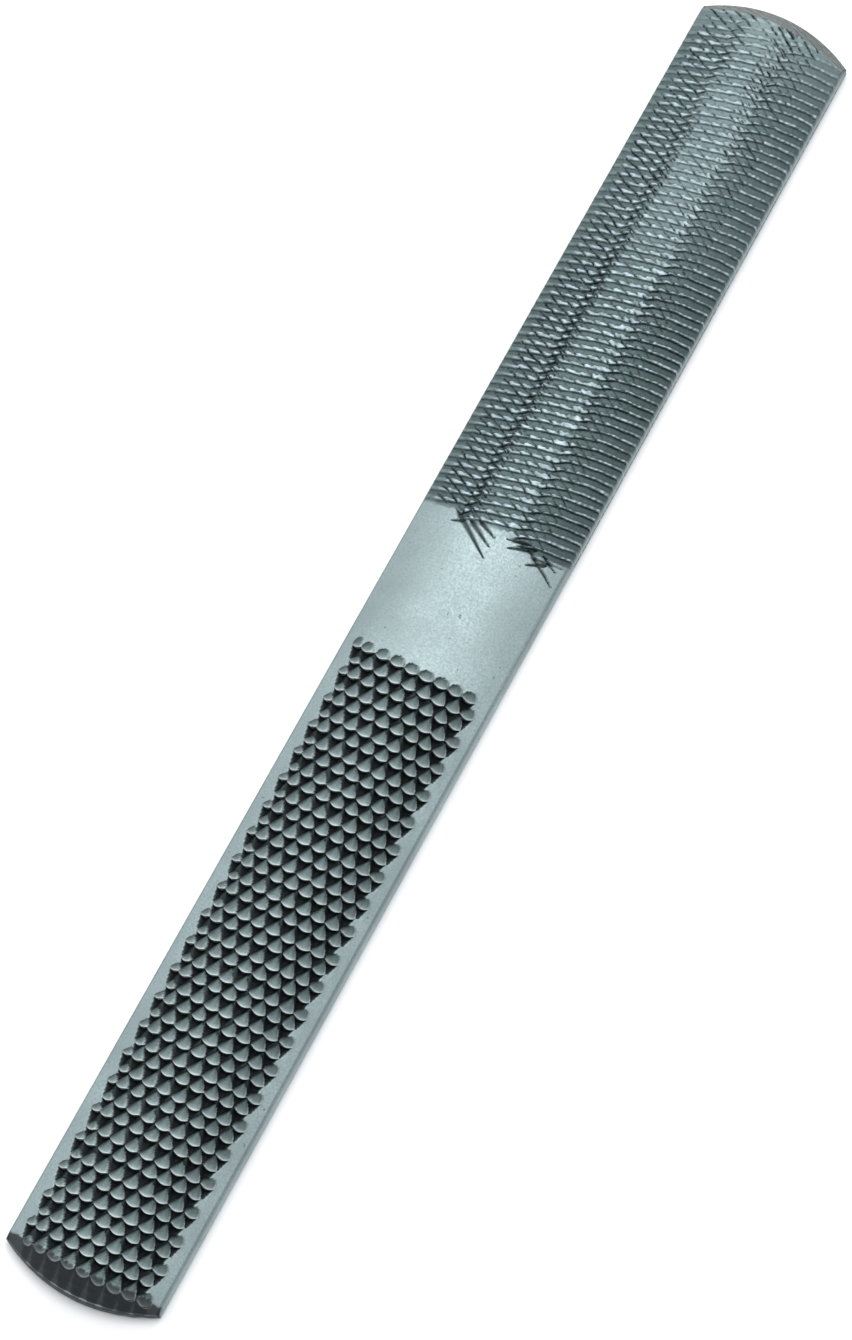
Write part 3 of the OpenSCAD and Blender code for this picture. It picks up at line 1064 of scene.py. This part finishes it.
round_strips = [
    Strip(-13.0, -9.9, 1.0, 0.20, 3.6, 0.20, 0.4),
    Strip(-9.0, -5.0, 1.0, 0.30, 3.4, 1.05, 0.48),
    Strip(-5.0, -3.8, 0.2, 0.42, 3.2, 1.00, 0.9),
    Strip(-3.8, 1.5, 0.4, 0.28, 3.3, 0.90, 0.42),
    Strip(1.5, 3.1, 0.8, 0.28, 5.0, 0.84, 0.38),
    Strip(3.1, 4.3, 0.2, 0.42, 2.8, 0.70, 0.9),
    Strip(4.3, 6.8, 0.4, 0.32, 2.1, 0.60, 0.6),
    Strip(6.8, 13.0, 0.8, 0.32, 2.4, 1.00, 0.7),
]
round_crossings = [
    Crossing(-9.4, -3.2, 1.2, -0.58, 0.1, 1.36, 0.50, 0.19, 0.25),
    Crossing(-2.6, 1.6, 1.2, -0.58, 0.1, 1.36, 0.30, 0.15, 0.3),
    Crossing(2.6, 6.9, 0.6, -0.62, 0.6, 1.36, 0.38, 0.18, 0.0),
    Crossing(-4.6, -2.9, 0.3, -0.85, 0.1, 1.36, 0.42, 0.20, 1.0),
    Crossing(0.9, 3.2, 0.8, -0.72, 0.1, 0.95, 0.04, 0.24, -8.0),
]
round_needles = [
    Needle((-4.6, 13.3), (0.8, 9.2), 0.80),
    Needle((-2.6, 13.0), (0.8, 10.9), 0.67),
    Needle((-1.5, 13.5), (0.8, 12.4), 0.54),
    Needle((-4.4, 12.9), (-5.8, 12.4), 0.48),
    Needle((5.9, 13.5), (2.9, 12.0), 0.77),
    Needle((4.9, 13.8), (2.3, 13.1), 0.54),
    Needle((8.3, 12.6), (6.1, 11.3), 0.67),
    Needle((6.6, 12.8), (10.6, 10.7), 0.67),
    Needle((8.2, 13.5), (10.3, 12.7), 0.51),
]
round_ends = [(-13, 14.9), (-6, 14.6), (-5, 13.9), (-3, 13.3), (0, 14.0), (3, 14.1), (4.5, 13.2),
              (8, 13.2), (13, 15.2)]
flat_strips = [Strip(-13.0, 13.0, 1.0, 0.34, 3.4, 0.7, 0.6)]
flat_crossings = [Crossing(-13.0, 13.0, 1.0, -0.75, 0.2, 1.45, 0.36, 0.25, 0.0)]
flat_ends = [(-13, 15.8), (13, 15.8)]

core = make_core()
round_file = round_face(
    "round_file_teeth", FileField(1.7, round_strips, round_crossings, round_needles, round_ends),
    FILE_SEAM, FILE_BEVEL, round_columns)
round_rasp = round_face(
    "round_rasp_teeth", RaspField(3, RaspField.SAG, 13),
    RASP_SEAM, RASP_BEVEL, round_columns)
flat_file = flat_face(
    "flat_file_teeth", FileField(5.1, flat_strips, flat_crossings, [], flat_ends),
    FILE_SEAM, flat_columns)
flat_rasp = flat_face("flat_rasp_teeth", RaspField(8, 0.0, 10), RASP_SEAM, flat_columns)

PIECES = (
    (core, "bar", bar_steel, "bar_steel"),
    (round_file, "round_file_teeth", file_steel, "file_steel"),
    (round_rasp, "round_rasp_teeth", rasp_steel, "rasp_steel"),
    (flat_file, "flat_file_teeth", file_steel, "file_steel"),
    (flat_rasp, "flat_rasp_teeth", rasp_steel, "rasp_steel"),
)
for piece, node, material, slot in PIECES:
    piece.data.materials.append(material)
    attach(piece, "root")
    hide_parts(node)


# ---------------------------------------------------------------- floor, light and camera
def matte(name, colour):
    material = bpy.data.materials.new(name)
    material.use_nodes = True
    bsdf = material.node_tree.nodes["Principled BSDF"]
    bsdf.inputs["Base Color"].default_value = colour + (1.0,)
    bsdf.inputs["Roughness"].default_value = 0.9
    return material


# In metres from here on
FLOOR_HALF = 3.0
floor_mesh = bpy.data.meshes.new("floor")
floor_mesh.from_pydata(
    [(-FLOOR_HALF, -FLOOR_HALF, 0), (FLOOR_HALF, -FLOOR_HALF, 0),
     (FLOOR_HALF, FLOOR_HALF, 0), (-FLOOR_HALF, FLOOR_HALF, 0)], [], [(0, 1, 2, 3)])
floor = bpy.data.objects.new("floor", floor_mesh)
bpy.context.scene.collection.objects.link(floor)
floor.data.materials.append(matte("floor_white", (0.93, 0.94, 0.95)))


def soft_light(name, place, size, power):
    """A square area light that looks at the middle of the bar."""
    data = bpy.data.lights.new(name, "AREA")
    data.energy = power
    data.size = size
    light = bpy.data.objects.new(name, data)
    light.location = place
    light.rotation_euler = (-Vector(place)).to_track_quat("-Z", "Y").to_euler()
    bpy.context.scene.collection.objects.link(light)


soft_light("overhead", place=(-0.12, 0.30, 1.0), size=1.5, power=17.0)

world = bpy.data.worlds.new("studio")
world.use_nodes = True
background = world.node_tree.nodes["Background"]
background.inputs["Color"].default_value = (0.95, 0.97, 1.0, 1.0)
background.inputs["Strength"].default_value = 0.5
bpy.context.scene.world = world
bpy.context.scene.view_settings.view_transform = "Standard"

# The camera looks at a point in the bar's middle height, which is moved to the right and up
# in the picture by CAMERA_SHIFT.
CAMERA_AZIMUTH = math.radians(27.39)
CAMERA_ELEVATION = math.radians(68.12)
CAMERA_DISTANCE = 0.6754
CAMERA_LENS = 138.9
CAMERA_TARGET = Vector((0, 0, 3.5 * MM))
CAMERA_SHIFT = (-2.54 * MM, -6.28 * MM)
forward = Vector((
    -math.sin(CAMERA_AZIMUTH) * math.cos(CAMERA_ELEVATION),
    math.cos(CAMERA_AZIMUTH) * math.cos(CAMERA_ELEVATION),
    -math.sin(CAMERA_ELEVATION),
))
right = Vector((math.cos(CAMERA_AZIMUTH), math.sin(CAMERA_AZIMUTH), 0))
up = right.cross(forward)
aim = CAMERA_TARGET + right * CAMERA_SHIFT[0] + up * CAMERA_SHIFT[1]
camera_data = bpy.data.cameras.new("camera")
camera_data.sensor_fit = "VERTICAL"
camera_data.sensor_height = 36.0
camera_data.lens = CAMERA_LENS
camera_data.clip_start = 0.01
camera = bpy.data.objects.new("camera", camera_data)
axes = Matrix((right, up, -forward)).transposed().to_4x4()
camera.matrix_world = Matrix.Translation(aim - forward * CAMERA_DISTANCE) @ axes
bpy.context.scene.collection.objects.link(camera)
bpy.context.scene.camera = camera
